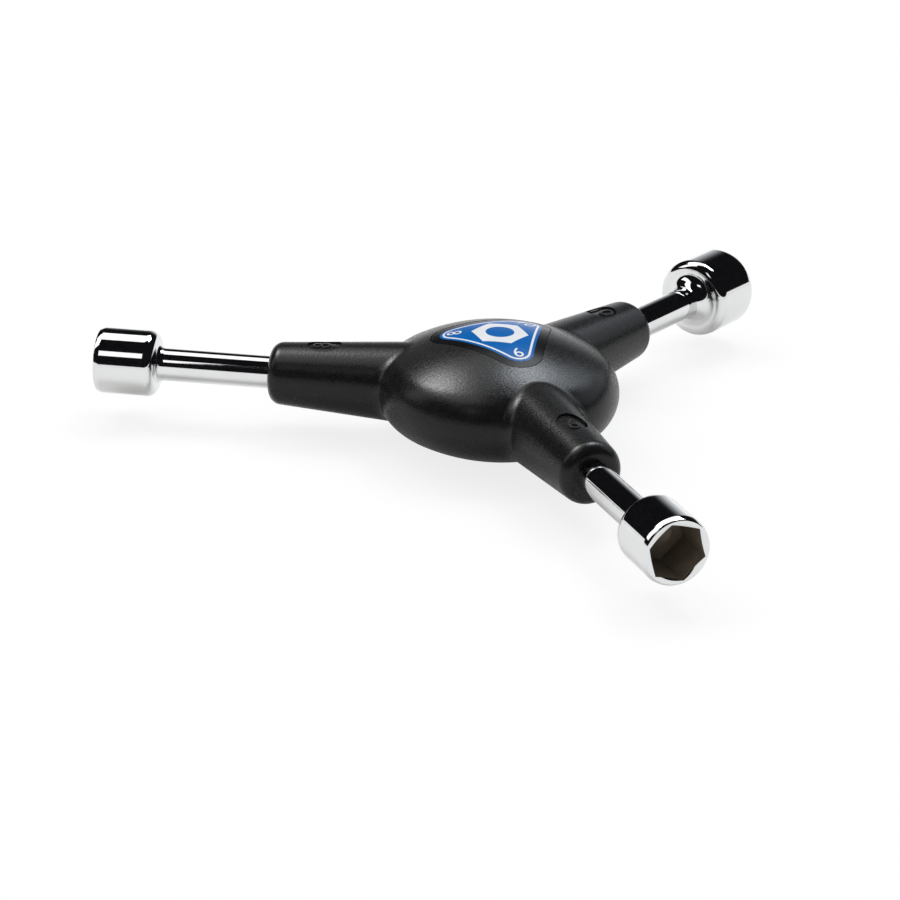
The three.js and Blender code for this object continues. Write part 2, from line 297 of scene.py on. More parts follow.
def weld_shut(bm):
    """Weld the seams and poles of a closed shape and point its faces outwards."""
    bmesh.ops.remove_doubles(bm, verts=bm.verts, dist=WELD)
    bmesh.ops.dissolve_degenerate(bm, edges=bm.edges, dist=WELD)
    bmesh.ops.recalc_face_normals(bm, faces=bm.faces)


def finish_piece(bm, name, materials, node=None):
    """Make a shape into a piece of the object, in metres, smooth between its sharp edges."""
    mesh = mesh_from(bm, name)
    mesh.transform(Matrix.Scale(MM, 4) @ Matrix.Translation((0, 0, AXIS_HEIGHT)))
    for material in materials:
        mesh.materials.append(material)
    mesh.shade_smooth()
    mesh.set_sharp_from_angle(angle=math.radians(SHARP_DEGREES))
    piece = add_object(name, mesh)
    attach(piece, "root")
    if node:
        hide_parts(node)
    return piece


def turned(bm, profile, axis, steps, start=0.0):
    """Spin a profile of (along the axis, out from it) into a closed body."""
    across = Vector((0, math.cos(start), math.sin(start))) if axis == X_AXIS else X_AXIS
    verts = [bm.verts.new(axis * along + across * out) for along, out in profile]
    edges = [bm.edges.new(pair) for pair in zip(verts, verts[1:])]
    bmesh.ops.spin(
        bm,
        geom=verts + edges,
        axis=axis,
        cent=(0, 0, 0),
        angle=2 * math.pi,
        steps=steps,
        use_merge=True,
    )


def add_copies(bm, source, directions=(0,)):
    """Move a shape into a bmesh, with a copy turned to each plan direction."""
    mesh = mesh_from(source, "copied")
    for degrees in directions:
        copy = mesh.copy()
        copy.transform(arm_turn(degrees))
        bm.from_mesh(copy)
        bpy.data.meshes.remove(copy)
    bpy.data.meshes.remove(mesh)


def cut_into_grid(bm, reach, pitch):
    """Cut flat artwork into small fields so that it can follow a curved surface."""
    count = math.ceil(reach / pitch)
    for normal in (X_AXIS, Y_AXIS):
        for i in range(-count, count + 1):
            geom = bm.verts[:] + bm.edges[:] + bm.faces[:]
            bmesh.ops.bisect_plane(bm, geom=geom, plane_co=normal * i * pitch, plane_no=normal)
    bmesh.ops.remove_doubles(bm, verts=bm.verts, dist=SLIVER)
    bmesh.ops.dissolve_degenerate(bm, edges=bm.edges, dist=SLIVER)


def raise_slab(bm, height, deep, shallow):
    """Make flat artwork into a body between two depths below a surface of a given height."""
    raised = bmesh.ops.extrude_face_region(bm, geom=bm.faces[:])
    top = {item for item in raised["geom"] if isinstance(item, bmesh.types.BMVert)}
    for vert in bm.verts:
        vert.co.z = height(vert.co, shallow if vert in top else deep)
    weld_shut(bm)


def arm_height(point, depth):
    """Height of an arm along X, less a depth below its surface, over a point in plan."""
    return math.sqrt((arm_radius(point.x) - depth) ** 2 - point.y**2)


def crown_height(point, depth):
    """Height of the crown, less a depth below its surface, over a point in plan."""
    radius = CROWN_RADIUS - depth
    return CROWN_CENTRE + math.sqrt(radius**2 - point.x**2 - point.y**2)


def number_mesh(text, height, thickness):
    """A plain number, centred, with its height along Y; without a thickness it is flat."""
    curve = bpy.data.curves.new("number_" + text, "FONT")
    curve.body = text
    curve.align_x = "CENTER"
    curve.extrude = thickness / 2
    mesh = mesh_after(curve, "number_" + text)
    low = Vector(map(min, *[v.co for v in mesh.vertices]))
    high = Vector(map(max, *[v.co for v in mesh.vertices]))
    share = height / (high.y - low.y)
    mesh.transform(Matrix.Translation(-(low + high) / 2))
    mesh.transform(Matrix.Diagonal((share, share, 1, 1)))
    mesh.materials.clear()
    return mesh


# Skin of the handle


def rough_handle():
    """Hub and arms as overlapping turned bodies."""
    bm = bmesh.new()
    flat = UNDERSIDE_FLAT_DIAMETER / 2
    flat_angle = math.acos(flat / CROWN_RADIUS)
    outline = [(0, -AXIS_HEIGHT), (flat, -AXIS_HEIGHT)]
    outline += arc((0, -CROWN_CENTRE), CROWN_RADIUS, -flat_angle, -EDGE_SWEEP)
    outline += arc((EDGE_RING, 0), HUB_EDGE_RADIUS, -EDGE_SWEEP, EDGE_SWEEP, 2 * ARC_STEPS)
    outline += arc((0, CROWN_CENTRE), CROWN_RADIUS, EDGE_SWEEP, math.pi / 2)
    turned(bm, [(height, out) for out, height in outline], Z_AXIS, HUB_STEPS)
    arm = bmesh.new()
    end = ARM_REACH - ARM_END_ROUND
    profile = [(0, 0), (0, arm_radius(0)), (end, arm_radius(end))]
    profile += arc((end, arm_radius(ARM_REACH) - ARM_END_ROUND), ARM_END_ROUND, math.pi / 2, 0)
    profile += [(ARM_REACH, 0)]
    turned(arm, profile, X_AXIS, ARM_STEPS)
    weld_shut(arm)
    add_copies(bm, arm, arm_directions())
    weld_shut(bm)
    return mesh_from(bm, "rough_handle")


def round_corner(first, second, cosine, radius):
    """Distance from two skins that meet in an outer corner rounded by a ball.

    The cosine is that of the angle between the two skins' normals.
    """
    u = first + radius
    v = second + radius
    on_ball = (u > v * cosine) & (v > u * cosine)
    spread = np.maximum(1 - cosine**2, LEAST_SPREAD)
    from_centre = np.sqrt(np.maximum(u * u + v * v - 2 * u * v * cosine, 0) / spread)
    return np.where(on_ball, from_centre - radius, np.maximum(first, second))


def folded(points):
    """The points turned so that the nearest arm lies along X."""
    angle = np.degrees(np.arctan2(points[:, 1], points[:, 0])) - FIRST_ARM_DEGREES
    nearest = np.round(angle / ARM_SPACING_DEGREES) * ARM_SPACING_DEGREES + FIRST_ARM_DEGREES
    turn = np.radians(-nearest)
    x = points[:, 0] * np.cos(turn) - points[:, 1] * np.sin(turn)
    y = points[:, 0] * np.sin(turn) + points[:, 1] * np.cos(turn)
    return np.stack([x, y, points[:, 2]], axis=1)


def hub_distance(points):
    """Signed distance from the hub's round edge or its crowns, and the normal there."""
    spoke = np.hypot(points[:, 0], points[:, 1])
    beyond = spoke - EDGE_RING
    on_edge = (beyond > 0) & (np.arctan2(np.abs(points[:, 2]), beyond) < EDGE_SWEEP)
    edge_centre = points * (1, 1, 0) * (EDGE_RING / np.maximum(spoke, WELD))[:, None]
    crown_centre = np.sign(points) * (0, 0, CROWN_CENTRE)
    from_centre = points - np.where(on_edge[:, None], edge_centre, crown_centre)
    reach = np.linalg.norm(from_centre, axis=1)
    distance = reach - np.where(on_edge, HUB_EDGE_RADIUS, CROWN_RADIUS)
    return distance, from_centre / reach[:, None]


def arm_distance(points):
    """Signed distance from an arm along X with its rounded end, and the normal of its flank."""
    out = np.maximum(np.hypot(points[:, 1], points[:, 2]), WELD)
    normal = math.cos(ARM_DRAFT) * points / out[:, None]
    normal[:, 0] = math.sin(ARM_DRAFT)
    to_flank = (out - arm_radius(points[:, 0])) * math.cos(ARM_DRAFT)
    to_end = points[:, 0] - ARM_REACH
    return round_corner(to_flank, to_end, math.sin(ARM_DRAFT), ARM_END_ROUND), normal


def skin_distance(points):
    """Signed distance from the handle's moulded skin, without its pockets and recess."""
    points = folded(points)
    to_hub, hub_normal = hub_distance(points)
    to_arm, arm_normal = arm_distance(points)
    cosine = (hub_normal * arm_normal).sum(axis=1)
    blended = -round_corner(-to_hub, -to_arm, cosine, ARM_ROOT_FILLET)
    return np.maximum(blended, -AXIS_HEIGHT - points[:, 2])


def settle(mesh):
    """Move every vertex square onto the handle's skin."""
    points = np.empty(len(mesh.vertices) * 3)
    mesh.vertices.foreach_get("co", points)
    points = points.reshape(-1, 3)
    for _ in range(SETTLE_ROUNDS):
        slope = np.empty_like(points)
        for axis, step in enumerate(np.eye(3) * SETTLE_PROBE):
            rise = skin_distance(points + step) - skin_distance(points - step)
            slope[:, axis] = rise / (2 * SETTLE_PROBE)
        slope /= np.maximum(np.linalg.norm(slope, axis=1), LEAST_SLOPE)[:, None]
        points -= skin_distance(points)[:, None] * slope
    mesh.vertices.foreach_set("co", points.ravel())
    mesh.update()


def even_out(mesh):
    """Smooth the lie of the skin's vertices."""
    bm = bmesh.new()
    bm.from_mesh(mesh)
    for _ in range(SMOOTH_ROUNDS):
        bmesh.ops.smooth_vert(
            bm, verts=bm.verts, factor=SMOOTH_SHARE, use_axis_x=True, use_axis_y=True, use_axis_z=True
        )
    bm.to_mesh(mesh)
    bm.free()


# What is cut into the handle and stands on it


def shank_profile(growth):
    """Shank inside the handle or, with growth, the hollow that the moulding leaves round it."""
    radius = SHAFT_RADIUS + growth
    start = SHANK_START - growth
    flats_end = SHANK_START + FLATS_LENGTH
    groove = ARM_REACH - GROOVE_FROM_END
    half = GROOVE_WIDTH / 2 - growth
    return [
        (start, 0),
        (start, radius - SHANK_CHAMFER),
        (start + SHANK_CHAMFER, radius),
        (flats_end, radius),
        (flats_end + FLATS_STEP, radius),
        (groove - half, radius),
        (groove - half, radius - GROOVE_DEPTH),
        (groove + half, radius - GROOVE_DEPTH),
        (groove + half, radius),
    ]


def press_flats(bm, growth):
    """Flatten the inner end of a shank from above and below."""
    limit = FLATS_ACROSS / 2 + growth
    for vert in bm.verts:
        if vert.co.x < SHANK_START + FLATS_LENGTH + FLATS_STEP / 2:
            vert.co.z = max(-limit, min(limit, vert.co.z))


def shank_hollow():
    bm = bmesh.new()
    end = ARM_REACH + OVERCUT
    radius = SHAFT_RADIUS + MOULD_GAP
    turned(bm, shank_profile(MOULD_GAP) + [(end, radius), (end, 0)], X_AXIS, SHAFT_STEPS)
    press_flats(bm, MOULD_GAP)
    weld_shut(bm)
    return bm


def pocket_cutter():
    """Oval plug whose floor follows the top of the arm."""
    bm = bmesh.new()
    bmesh.ops.create_circle(bm, cap_ends=True, segments=SHAFT_STEPS, radius=0.5)
    bmesh.ops.scale(bm, vec=(POCKET_LENGTH, POCKET_WIDTH, 1), verts=bm.verts)
    cut_into_grid(bm, POCKET_LENGTH / 2, POCKET_GRID)
    bmesh.ops.translate(bm, vec=(POCKET_REACH, 0, 0), verts=bm.verts)
    raise_slab(bm, arm_height, POCKET_DEPTH, -OVERCUT)
    return bm


def triangle_points(growth):
    """Plan of a triangle with a rounded corner towards each arm, grown or shrunk all round."""
    corner = Vector((LABEL_REACH - LABEL_CORNER_RADIUS, 0, 0))
    half = math.radians(ARM_SPACING_DEGREES / 2)
    points = []
    for degrees in sorted(arm_directions()):
        turn = math.radians(degrees)
        points += arc(arm_turn(degrees) @ corner, LABEL_CORNER_RADIUS + growth, turn - half, turn + half)
    return points


def flat_face(points):
    """Artwork of one flat face, from its plan points."""
    bm = bmesh.new()
    bm.faces.new([bm.verts.new((x, y, 0)) for x, y in points])
    return bm


def crown_slab(growth, deep, shallow):
    """Rounded triangle of the crown between two depths below its surface."""
    bm = flat_face(triangle_points(growth))
    cut_into_grid(bm, LABEL_REACH, LABEL_GRID)
    raise_slab(bm, crown_height, deep, shallow)
    return bm


def handle_cutters():
    """Pockets, shank hollows and the label's recess as one mesh of separate bodies."""
    bm = bmesh.new()
    add_copies(bm, pocket_cutter(), arm_directions())
    add_copies(bm, shank_hollow(), arm_directions())
    add_copies(bm, crown_slab(LABEL_EDGE_GAP, LABEL_THICKNESS + LABEL_ADHESIVE, -OVERCUT))
    return mesh_from(bm, "handle_cutters")


def handle_shape():
    """The moulded skin, cut for its pockets, shanks and label."""
    skin = mesh_after(rough_handle(), "rough_handle", "REMESH", mode="VOXEL", voxel_size=SKIN_VOXEL)
    settle(skin)
    even_out(skin)
    settle(skin)
    cutters = add_object("handle_cutters", handle_cutters())
    carved = mesh_after(
        skin, "handle_skin", "BOOLEAN", operation="DIFFERENCE", solver="EXACT", object=cutters
    )
    bpy.data.objects.remove(cutters)
    bm = bmesh.new()
    bm.from_mesh(carved)
    bmesh.ops.remove_doubles(bm, verts=bm.verts, dist=WELD)
    bmesh.ops.triangulate(bm, faces=bm.faces)
    bmesh.ops.dissolve_degenerate(bm, edges=bm.edges, dist=SLIVER)
    return bm


def soften_top(bm):
    """Round off the upper edges of a flat-topped number."""
    edges = []
    for edge in bm.edges:
        slopes = sorted(abs(face.normal.z) for face in edge.link_faces)
        meets_wall = len(slopes) == 2 and slopes[0] < UPRIGHT_BELOW and slopes[1] > LEVEL_ABOVE
        if meets_wall and edge.verts[0].co.z > 0:
            edges.append(edge)
    bmesh.ops.bevel(
        bm,
        geom=edges,
        offset=NUMBER_BEVEL,
        segments=BEVEL_STEPS,
        profile=0.5,
        affect="EDGES",
        clamp_overlap=True,
        material=-1,
    )


def moulded_numbers():
    """The raised sizes, standing on the floors of the pockets."""
    bm = bmesh.new()
    thickness = NUMBER_RELIEF + NUMBER_SINK
    place_on_arm = Matrix.Translation((POCKET_REACH + NUMBER_SHIFT, 0, thickness / 2 - NUMBER_SINK))
    for place in ARMS.values():
        figure = bmesh.new()
        figure.from_mesh(number_mesh(place["number"], NUMBER_HEIGHT, thickness))
        weld_shut(figure)
        soften_top(figure)
        bmesh.ops.transform(figure, matrix=place_on_arm @ OUTWARDS, verts=figure.verts)
        for vert in figure.verts:
            vert.co.z += arm_height(vert.co, POCKET_DEPTH)
        add_copies(bm, figure, [place["degrees"]])
    return bm


# Socket shafts


def shaft_profile(radius, rim):
    """Shaft and socket, from the inner end of the shank to the rim of the hexagon."""
    rise = radius - SHAFT_RADIUS
    shoulder = SHOULDER_ROUND * min(1, rise / (SHOULDER_FILLET_LEAST + SHOULDER_ROUND))
    fillet = rise - shoulder
    taper = math.radians(MOUTH_TAPER_DEGREES)
    taper_start = MOUTH_REACH - MOUTH_TAPER_LENGTH
    taper_end = MOUTH_REACH - MOUTH_ROUND + MOUTH_ROUND * math.sin(taper)
    taper_radius = radius - (taper_end - taper_start) * math.tan(taper)
    mouth_middle = (MOUTH_REACH - MOUTH_ROUND, taper_radius - MOUTH_ROUND * math.cos(taper))
    profile = shank_profile(0)
    profile += [(SHOULDER_REACH - fillet - HOLD, SHAFT_RADIUS)]
    profile += arc((SHOULDER_REACH - fillet, SHAFT_RADIUS + fillet), fillet, -math.pi / 2, 0)
    profile += arc((SHOULDER_REACH + shoulder, radius - shoulder), shoulder, math.pi, math.pi / 2)
    profile += [(SHOULDER_REACH + shoulder + HOLD, radius)]
    profile += [(taper_start - HOLD, radius), (taper_start, radius)]
    profile += arc(mouth_middle, MOUTH_ROUND, math.pi / 2 - taper, 0)
    profile += [(MOUTH_REACH, rim)]
    return profile


def extruded_ring(bm, edges, place):
    """Extrude a loop of edges inwards; place gives each new vertex from its angle about X."""
    grown = bmesh.ops.extrude_edge_only(bm, edges=edges)["geom"]
    verts = [item for item in grown if isinstance(item, bmesh.types.BMVert)]
    faces = [item for item in grown if isinstance(item, bmesh.types.BMFace)]
    for vert in verts:
        angle = math.atan2(vert.co.z, vert.co.y)
        along, out = place(angle)
        vert.co = (along, out * math.cos(angle), out * math.sin(angle))
    ring = set(verts)
    new_edges = [e for e in grown if isinstance(e, bmesh.types.BMEdge) and ring.issuperset(e.verts)]
    return new_edges, faces


def sink_hexagon(bm, across, rim):
    """Close a socket's mouth with its lead-in, hexagon, floor and drill point.

    All but the lead-in take the second material.
    """
    lead_in = math.tan(math.radians(LEAD_IN_DEGREES))
    hex_end = SHOULDER_REACH + HEX_FLOOR
    drill = across / 2 - DRILL_MARGIN
    drill_depth = drill / math.tan(math.radians(DRILL_POINT_DEGREES / 2))

    def side(angle):
        return hex_radius(angle, across, HEX_TURN)

    edges = [edge for edge in bm.edges if edge.is_boundary]
    edges, _ = extruded_ring(
        bm, edges, lambda angle: (MOUTH_REACH - max(0, rim - side(angle)) * lead_in, side(angle))
    )
    edges, walls = extruded_ring(bm, edges, lambda angle: (hex_end, side(angle)))
    edges, ledge = extruded_ring(bm, edges, lambda angle: (hex_end, drill))
    _, point = extruded_ring(bm, edges, lambda angle: (hex_end - drill_depth, 0))
    for face in walls + ledge + point:
        face.material_index = 1


def socket_shape(place):
    """A shaft with its socket, from its row of the arms."""
    across = place["hex"] + HEX_CLEARANCE
    corner = across / math.sqrt(3)
    rim = corner + LEAD_IN_MARGIN
    bm = bmesh.new()
    turned(bm, shaft_profile(corner + place["wall"], rim), X_AXIS, SHAFT_STEPS, HEX_TURN)
    press_flats(bm, 0)
    bmesh.ops.remove_doubles(bm, verts=bm.verts, dist=WELD)
    sink_hexagon(bm, across, rim)
    weld_shut(bm)
    bmesh.ops.transform(bm, matrix=arm_turn(place["degrees"]), verts=bm.verts)
    return bm


# Label


def ring_between(outer, inner):
    """Flat ring between two closed lists of plan points of the same length."""
    bm = bmesh.new()
    loops = []
    for points in (outer, inner):
        verts = [bm.verts.new((x, y, 0)) for x, y in points]
        loops.append([bm.edges.new((a, b)) for a, b in zip(verts, verts[1:] + verts[:1])])
    bmesh.ops.bridge_loops(bm, edges=loops[0] + loops[1])
    return bm


def keyline():
    """Line that follows the edge of the field."""
    inset = LABEL_BORDER + KEYLINE_FROM_FIELD
    return ring_between(triangle_points(-inset), triangle_points(-inset - KEYLINE_WIDTH))


def nut():
    """Plain hexagon nut, seen from above."""
    outer = []
    inner = []
    for i in range(SHAFT_STEPS):
        angle = 2 * math.pi * i / SHAFT_STEPS
        for points, out in ((outer, hex_radius(angle, NUT_ACROSS_FLATS)), (inner, NUT_HOLE_DIAMETER / 2)):
            points.append((out * math.cos(angle), out * math.sin(angle)))
    return ring_between(outer, inner)


def label_number(place):
    """Plain size in the corner of the label towards its arm."""
    mesh = number_mesh(place["number"], LABEL_NUMBER_HEIGHT, 0)
    mesh.transform(Matrix.Translation((LABEL_NUMBER_REACH, 0, 0)) @ OUTWARDS)
    mesh.transform(arm_turn(place["degrees"]))
    bm = bmesh.new()
    bm.from_mesh(mesh)
    bmesh.ops.remove_doubles(bm, verts=bm.verts, dist=WELD)
    return bm


def print_layer(bm, artwork, layer, ink):
    """Lay flat artwork on the crown as a closed film, over the layers below it."""
    cut_into_grid(artwork, LABEL_REACH, LABEL_GRID)
    depth = PRINT_LAYER * (PRINT_LAYERS + 1 - layer)
    raise_slab(artwork, crown_height, depth + PRINT_FILM, depth)
    for face in artwork.faces:
        face.material_index = ink
    add_copies(bm, artwork)


def label_shape():
    """Black film with a blue field, a white keyline, a nut and the three sizes in plain figures."""
    blue = list(INKS).index("blue_ink")
    white = list(INKS).index("white_ink")
    bm = crown_slab(0, LABEL_THICKNESS, PRINT_LAYER * (PRINT_LAYERS + 1))
    print_layer(bm, flat_face(triangle_points(-LABEL_BORDER)), 1, blue)
    print_layer(bm, keyline(), 2, white)
    print_layer(bm, nut(), 2, white)
    for place in ARMS.values():
        print_layer(bm, label_number(place), 3, white)
    return bm


# Materials


def new_material(name):
    material = bpy.data.materials.new(name)
    material.use_nodes = True
    return material, material.node_tree, material.node_tree.nodes["Principled BSDF"]


def value_range(tree, source, low, high):
    """A 0 to 1 value spread between two limits."""
    node = tree.nodes.new("ShaderNodeMapRange")
    node.inputs["To Min"].default_value = low
    node.inputs["To Max"].default_value = high
    tree.links.new(source, node.inputs["Value"])
    return node.outputs["Result"]


def calculated(tree, operation, first, second):
    """The result of a Math node; its second term is a plain number or another node's output."""
    node = tree.nodes.new("ShaderNodeMath")
    node.operation = operation
    tree.links.new(first, node.inputs[0])
    if isinstance(second, bpy.types.NodeSocket):
        tree.links.new(second, node.inputs[1])
    else:
        node.inputs[1].default_value = second
    return node.outputs["Value"]


def two_tones(tree, source, dark, light):
    """A colour between two tones, by a Mix node, whose colour sockets are picked by their numbers."""
    node = tree.nodes.new("ShaderNodeMix")
    node.data_type = "RGBA"
    node.inputs[6].default_value = (*dark, 1)
    node.inputs[7].default_value = (*light, 1)
    tree.links.new(source, node.inputs[0])
    return node.outputs[2]


def bump(tree, height, strength, depth):
    """A normal from a height, to a depth in millimetres."""
    node = tree.nodes.new("ShaderNodeBump")
    node.inputs["Strength"].default_value = strength
    node.inputs["Distance"].default_value = depth * MM
    tree.links.new(height, node.inputs["Height"])
    return node.outputs["Normal"]


def grain_group():
    """Two sizes of noise over a surface: a fine grain for relief and a broad mottle for tone."""
    group = bpy.data.node_groups.new("surface_grain", "ShaderNodeTree")
    for name in ("Grain", "Mottle"):
        group.interface.new_socket(name + " Scale", in_out="INPUT", socket_type="NodeSocketFloat")
        group.interface.new_socket(name, in_out="OUTPUT", socket_type="NodeSocketFloat")
    entry = group.nodes.new("NodeGroupInput")
    leave = group.nodes.new("NodeGroupOutput")
    place = group.nodes.new("ShaderNodeTexCoord")
    for name in ("Grain", "Mottle"):
        noise = group.nodes.new("ShaderNodeTexNoise")
        noise.inputs["Detail"].default_value = NOISE["detail"]
        noise.inputs["Roughness"].default_value = NOISE["roughness"]
        contrast = group.nodes.new("ShaderNodeMapRange")
        for limit, level in zip(("From Min", "From Max"), NOISE["contrast"]):
            contrast.inputs[limit].default_value = level
        group.links.new(place.outputs["Object"], noise.inputs["Vector"])
        group.links.new(entry.outputs[name + " Scale"], noise.inputs["Scale"])
        group.links.new(noise.outputs["Fac"], contrast.inputs["Value"])
        group.links.new(contrast.outputs["Result"], leave.inputs[name])
    return group


SURFACE_GRAIN = grain_group()


def grain(tree, finish):
    """The fine grain and the broad mottle of a finish."""
    node = tree.nodes.new("ShaderNodeGroup")
    node.node_tree = SURFACE_GRAIN
    node.inputs["Grain Scale"].default_value = 1 / (finish["grain"] * MM)
    node.inputs["Mottle Scale"].default_value = 1 / (finish["mottle"] * MM)
    return node.outputs["Grain"], node.outputs["Mottle"]


def grained_skin(tree):
    """1 over the handle's grained skin, falling to 0 over the smooth ends of its arms."""
    place = tree.nodes.new("ShaderNodeTexCoord")
    level = tree.nodes.new("ShaderNodeVectorMath")
    level.operation = "MULTIPLY"
    level.inputs[1].default_value = (1, 1, 0)
    reach = tree.nodes.new("ShaderNodeVectorMath")
    reach.operation = "LENGTH"
    mask = tree.nodes.new("ShaderNodeMapRange")
    mask.interpolation_type = "SMOOTHSTEP"
    mask.inputs["From Min"].default_value = (ARM_REACH - SMOOTH_END_LENGTH + SMOOTH_END_FADE) * MM
    mask.inputs["From Max"].default_value = (ARM_REACH - SMOOTH_END_LENGTH) * MM
    tree.links.new(place.outputs["Object"], level.inputs[0])
    tree.links.new(level.outputs["Vector"], reach.inputs[0])
    tree.links.new(reach.outputs["Value"], mask.inputs["Value"])
    return mask.outputs["Result"]


def black_nylon(name, tones, depth):
    """Glass-filled nylon with the sparked grain of its mould, to a depth in millimetres."""
    material, tree, shader = new_material(name)
    fine, broad = grain(tree, NYLON)
    relief = calculated(tree, "MULTIPLY", grained_skin(tree), fine)
    tree.links.new(two_tones(tree, broad, *tones), shader.inputs["Base Color"])
    tree.links.new(value_range(tree, fine, *NYLON["roughness"]), shader.inputs["Roughness"])
    tree.links.new(bump(tree, relief, NYLON["relief"], depth), shader.inputs["Normal"])
    shader.inputs["Specular IOR Level"].default_value = NYLON_SPECULAR
    return material


def bright_chrome():
    """Mirror plating, a little wavy from the polish under it."""
    material, tree, shader = new_material("bright_chrome")
    fine, broad = grain(tree, CHROME)
    tree.links.new(two_tones(tree, broad, *CHROME_TONES), shader.inputs["Base Color"])
    tree.links.new(value_range(tree, fine, *CHROME["roughness"]), shader.inputs["Roughness"])
    tree.links.new(bump(tree, fine, CHROME["relief"], CHROME["depth"]), shader.inputs["Normal"])
    shader.inputs["Metallic"].default_value = 1
    return material


def bare_steel():
    """Dark broached steel inside the hexagons, where the plating thins out."""
    material, tree, shader = new_material("bare_steel")
    fine, broad = grain(tree, STEEL)
    tree.links.new(two_tones(tree, broad, *STEEL_TONES), shader.inputs["Base Color"])
    tree.links.new(value_range(tree, fine, *STEEL["roughness"]), shader.inputs["Roughness"])
    tree.links.new(bump(tree, fine, STEEL["relief"], STEEL["depth"]), shader.inputs["Normal"])
    shader.inputs["Metallic"].default_value = STEEL_METALLIC
    return material


def printed_vinyl(name, tones):
    """Ink under the film's own gloss."""
    material, tree, shader = new_material(name)
    fine, broad = grain(tree, VINYL)
    tree.links.new(two_tones(tree, broad, *tones), shader.inputs["Base Color"])
    tree.links.new(value_range(tree, broad, *VINYL["roughness"]), shader.inputs["Roughness"])
    tree.links.new(bump(tree, fine, VINYL["relief"], VINYL["depth"]), shader.inputs["Normal"])
    shader.inputs["Specular IOR Level"].default_value = VINYL_SPECULAR
    return material


def matt_material(name, tone):
    """A plain tone with no gloss, for the stage."""
    material, tree, shader = new_material(name)
    shader.inputs["Base Color"].default_value = (*tone, 1)
    shader.inputs["Roughness"].default_value = 1
    shader.inputs["Specular IOR Level"].default_value = 0
    return material, tree, shader


# Stage: floor, dark canopy, soft boxes, world and camera


def towards(azimuth_degrees, elevation_degrees):
    """Direction from the object, in degrees round from the near side and above the floor."""
    azimuth = math.radians(azimuth_degrees)
    elevation = math.radians(elevation_degrees)
    level = math.cos(elevation)
    return Vector((math.sin(azimuth) * level, -math.cos(azimuth) * level, math.sin(elevation)))


def share_by_ray(tree, seen, mirrored):
    """One share for rays from the camera, another for mirrored and refracted ones, else 0."""
    path = tree.nodes.new("ShaderNodeLightPath")
    camera = calculated(tree, "MULTIPLY", path.outputs["Is Camera Ray"], seen)
    glossy = calculated(tree, "MULTIPLY", path.outputs["Is Glossy Ray"], mirrored)
    refracted = calculated(tree, "MULTIPLY", path.outputs["Is Transmission Ray"], mirrored)
    return calculated(tree, "MAXIMUM", calculated(tree, "MAXIMUM", camera, glossy), refracted)


def make_floor():
    bm = bmesh.new()
    bmesh.ops.create_grid(bm, x_segments=1, y_segments=1, size=FLOOR_SIZE / 2)
    bmesh.ops.translate(bm, vec=(0, 0, -FLOOR_DROP), verts=bm.verts)
    floor = add_object("floor", mesh_from(bm, "floor"))
    material, tree, shader = matt_material("pale_floor", FLOOR_TONE)
    white = tree.nodes.new("ShaderNodeEmission")
    mix = tree.nodes.new("ShaderNodeMixShader")
    tree.links.new(share_by_ray(tree, FLOOR_WHITE_SEEN, FLOOR_WHITE_MIRRORED), mix.inputs[0])
    tree.links.new(shader.outputs["BSDF"], mix.inputs[1])
    tree.links.new(white.outputs["Emission"], mix.inputs[2])
    tree.links.new(mix.outputs["Shader"], tree.nodes["Material Output"].inputs["Surface"])
    floor.data.materials.append(material)


def back_glow(tree):
    """Strength of a glow round one direction of the canopy, fading outwards."""
    place = tree.nodes.new("ShaderNodeTexCoord")
    facing = tree.nodes.new("ShaderNodeVectorMath")
    facing.operation = "DOT_PRODUCT"
    facing.inputs[1].default_value = towards(*BACK_GLOW_TOWARDS) / CANOPY_RADIUS
    rise = tree.nodes.new("ShaderNodeMapRange")
    for name, degrees in zip(("From Min", "From Max"), BACK_GLOW_DEGREES):
        rise.inputs[name].default_value = math.cos(math.radians(degrees))
    tree.links.new(place.outputs["Object"], facing.inputs[0])
    tree.links.new(facing.outputs["Value"], rise.inputs["Value"])
    fall = calculated(tree, "POWER", rise.outputs["Result"], BACK_GLOW_FALL)
    return value_range(tree, fall, 0, BACK_GLOW)


def make_canopy():
    """Dark canopy that only mirrors see, as a studio's unlit ceiling is, with a glow low at the back."""
    bm = bmesh.new()
    bmesh.ops.create_uvsphere(
        bm, u_segments=CANOPY_STEPS, v_segments=CANOPY_STEPS // 2, radius=CANOPY_RADIUS
    )
    low = CANOPY_RADIUS * math.sin(math.radians(CANOPY_LOW_DEGREES))
    geom = bm.verts[:] + bm.edges[:] + bm.faces[:]
    bmesh.ops.bisect_plane(bm, geom=geom, plane_co=(0, 0, low), plane_no=Z_AXIS, clear_inner=True)
    canopy = add_object("canopy", mesh_from(bm, "canopy"))
    material, tree, shader = matt_material("dark_canopy", CANOPY_TONE)
    shader.inputs["Emission Color"].default_value = (*BACK_GLOW_TINT, 1)
    tree.links.new(back_glow(tree), shader.inputs["Emission Strength"])
    canopy.data.materials.append(material)
    canopy.visible_camera = False
    canopy.visible_diffuse = False
    canopy.visible_transmission = False
    canopy.visible_shadow = False


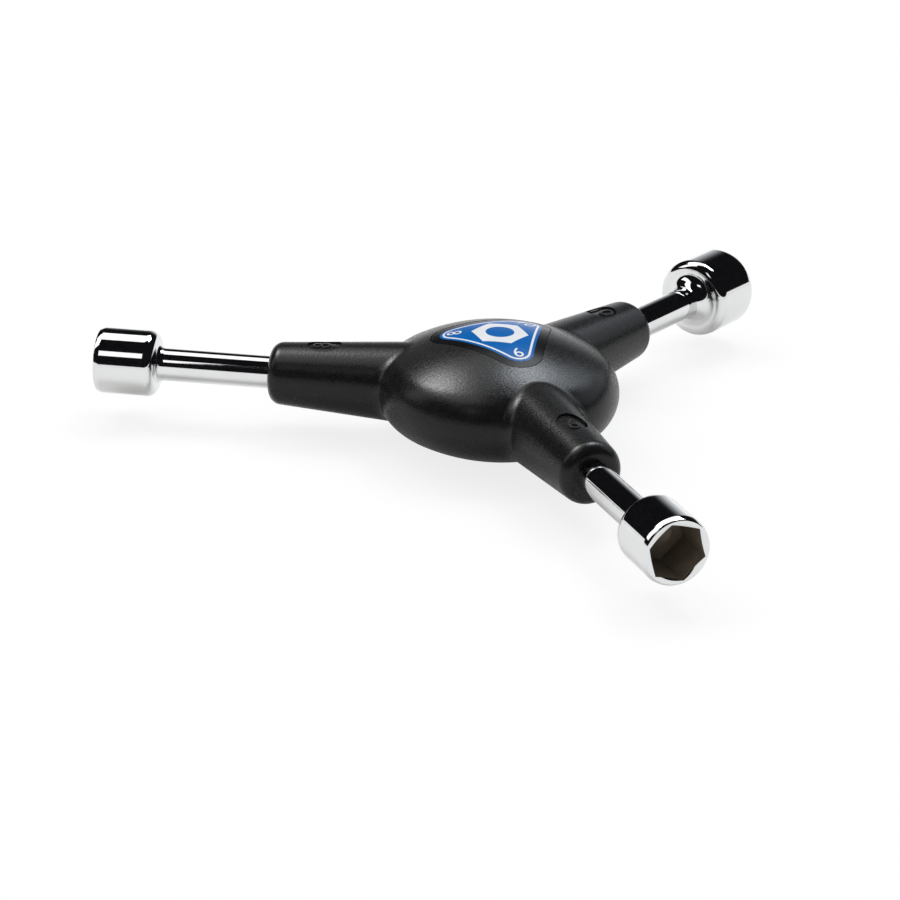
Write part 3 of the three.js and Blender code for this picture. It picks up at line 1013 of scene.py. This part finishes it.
def make_lights(boxes, receivers=None):
    """Soft boxes round the hub; those with receivers show in the gloss of these pieces alone."""
    lit = None
    if receivers:
        lit = bpy.data.collections.new("lit_pieces")
        for piece in receivers:
            lit.objects.link(piece)
    for name, box in boxes.items():
        across, up = [2 * LIGHT_DISTANCE * math.tan(math.radians(half)) for half in box["spread"]]
        lamp = bpy.data.lights.new(name, "AREA")
        lamp.shape = "RECTANGLE"
        lamp.size = across
        lamp.size_y = up
        lamp.energy = box["glow"] * math.pi * across * up
        lamp.color = box["tint"]
        holder = add_object(name, lamp)
        away = towards(*box["towards"])
        roll = Quaternion(Z_AXIS, math.radians(box["roll"]))
        holder.location = Vector((0, 0, AXIS_HEIGHT * MM)) + away * LIGHT_DISTANCE
        holder.rotation_mode = "QUATERNION"
        holder.rotation_quaternion = away.to_track_quat("Z", "Y") @ roll
        if lit:
            holder.visible_diffuse = False
            holder.light_linking.receiver_collection = lit


def make_world():
    world = bpy.data.worlds.new("studio")
    world.use_nodes = True
    tree = world.node_tree
    background = tree.nodes["Background"]
    background.inputs["Color"].default_value = (*PLAIN, 1)
    level = value_range(tree, share_by_ray(tree, 1, 1), AMBIENT, 1)
    tree.links.new(level, background.inputs["Strength"])
    bpy.context.scene.world = world


def make_camera():
    aim = -towards(CAMERA_AZIMUTH_DEGREES, CAMERA_ELEVATION_DEGREES)
    level = aim.cross(Z_AXIS).normalized()
    drop = aim.cross(level)
    roll = math.radians(CAMERA_ROLL_DEGREES)
    right = level * math.cos(roll) + drop * math.sin(roll)
    down = drop * math.cos(roll) - level * math.sin(roll)
    across, below, ahead = HUB_FROM_CAMERA
    place = Vector((0, 0, AXIS_HEIGHT)) - right * across - down * below - aim * ahead
    data = bpy.data.cameras.new("camera")
    data.lens = CAMERA_LENS
    data.sensor_width = CAMERA_SENSOR
    camera = add_object("camera", data)
    turn = Matrix((right, -down, -aim)).transposed().to_4x4()
    camera.matrix_world = Matrix.Translation(place * MM) @ turn
    bpy.context.scene.camera = camera


# Finishes, pieces and stage, put together
grained_nylon = black_nylon("grained_nylon", **GRAINED)
# The numbers' nylon has painted sheen in its lighter tones.
sheen_painted_nylon = black_nylon("sheen_painted_nylon", **SHEEN_PAINTED_NUMBERS)
chrome = bright_chrome()
steel = bare_steel()
inks = [printed_vinyl(name, tones) for name, tones in INKS.items()]

handle = finish_piece(handle_shape(), "moulded_handle", [grained_nylon], "handle")
numbers = finish_piece(moulded_numbers(), "moulded_numbers", [sheen_painted_nylon])
for node, place in ARMS.items():
    finish_piece(socket_shape(place), "turned_" + node, [chrome, steel], node)
finish_piece(label_shape(), "printed_label", inks, "label")

make_floor()
make_canopy()
make_lights(SOFT_BOXES)
make_lights(SHEEN_BOXES, [handle, numbers])
make_world()
make_camera()
bpy.context.scene.view_settings.view_transform = "Standard"
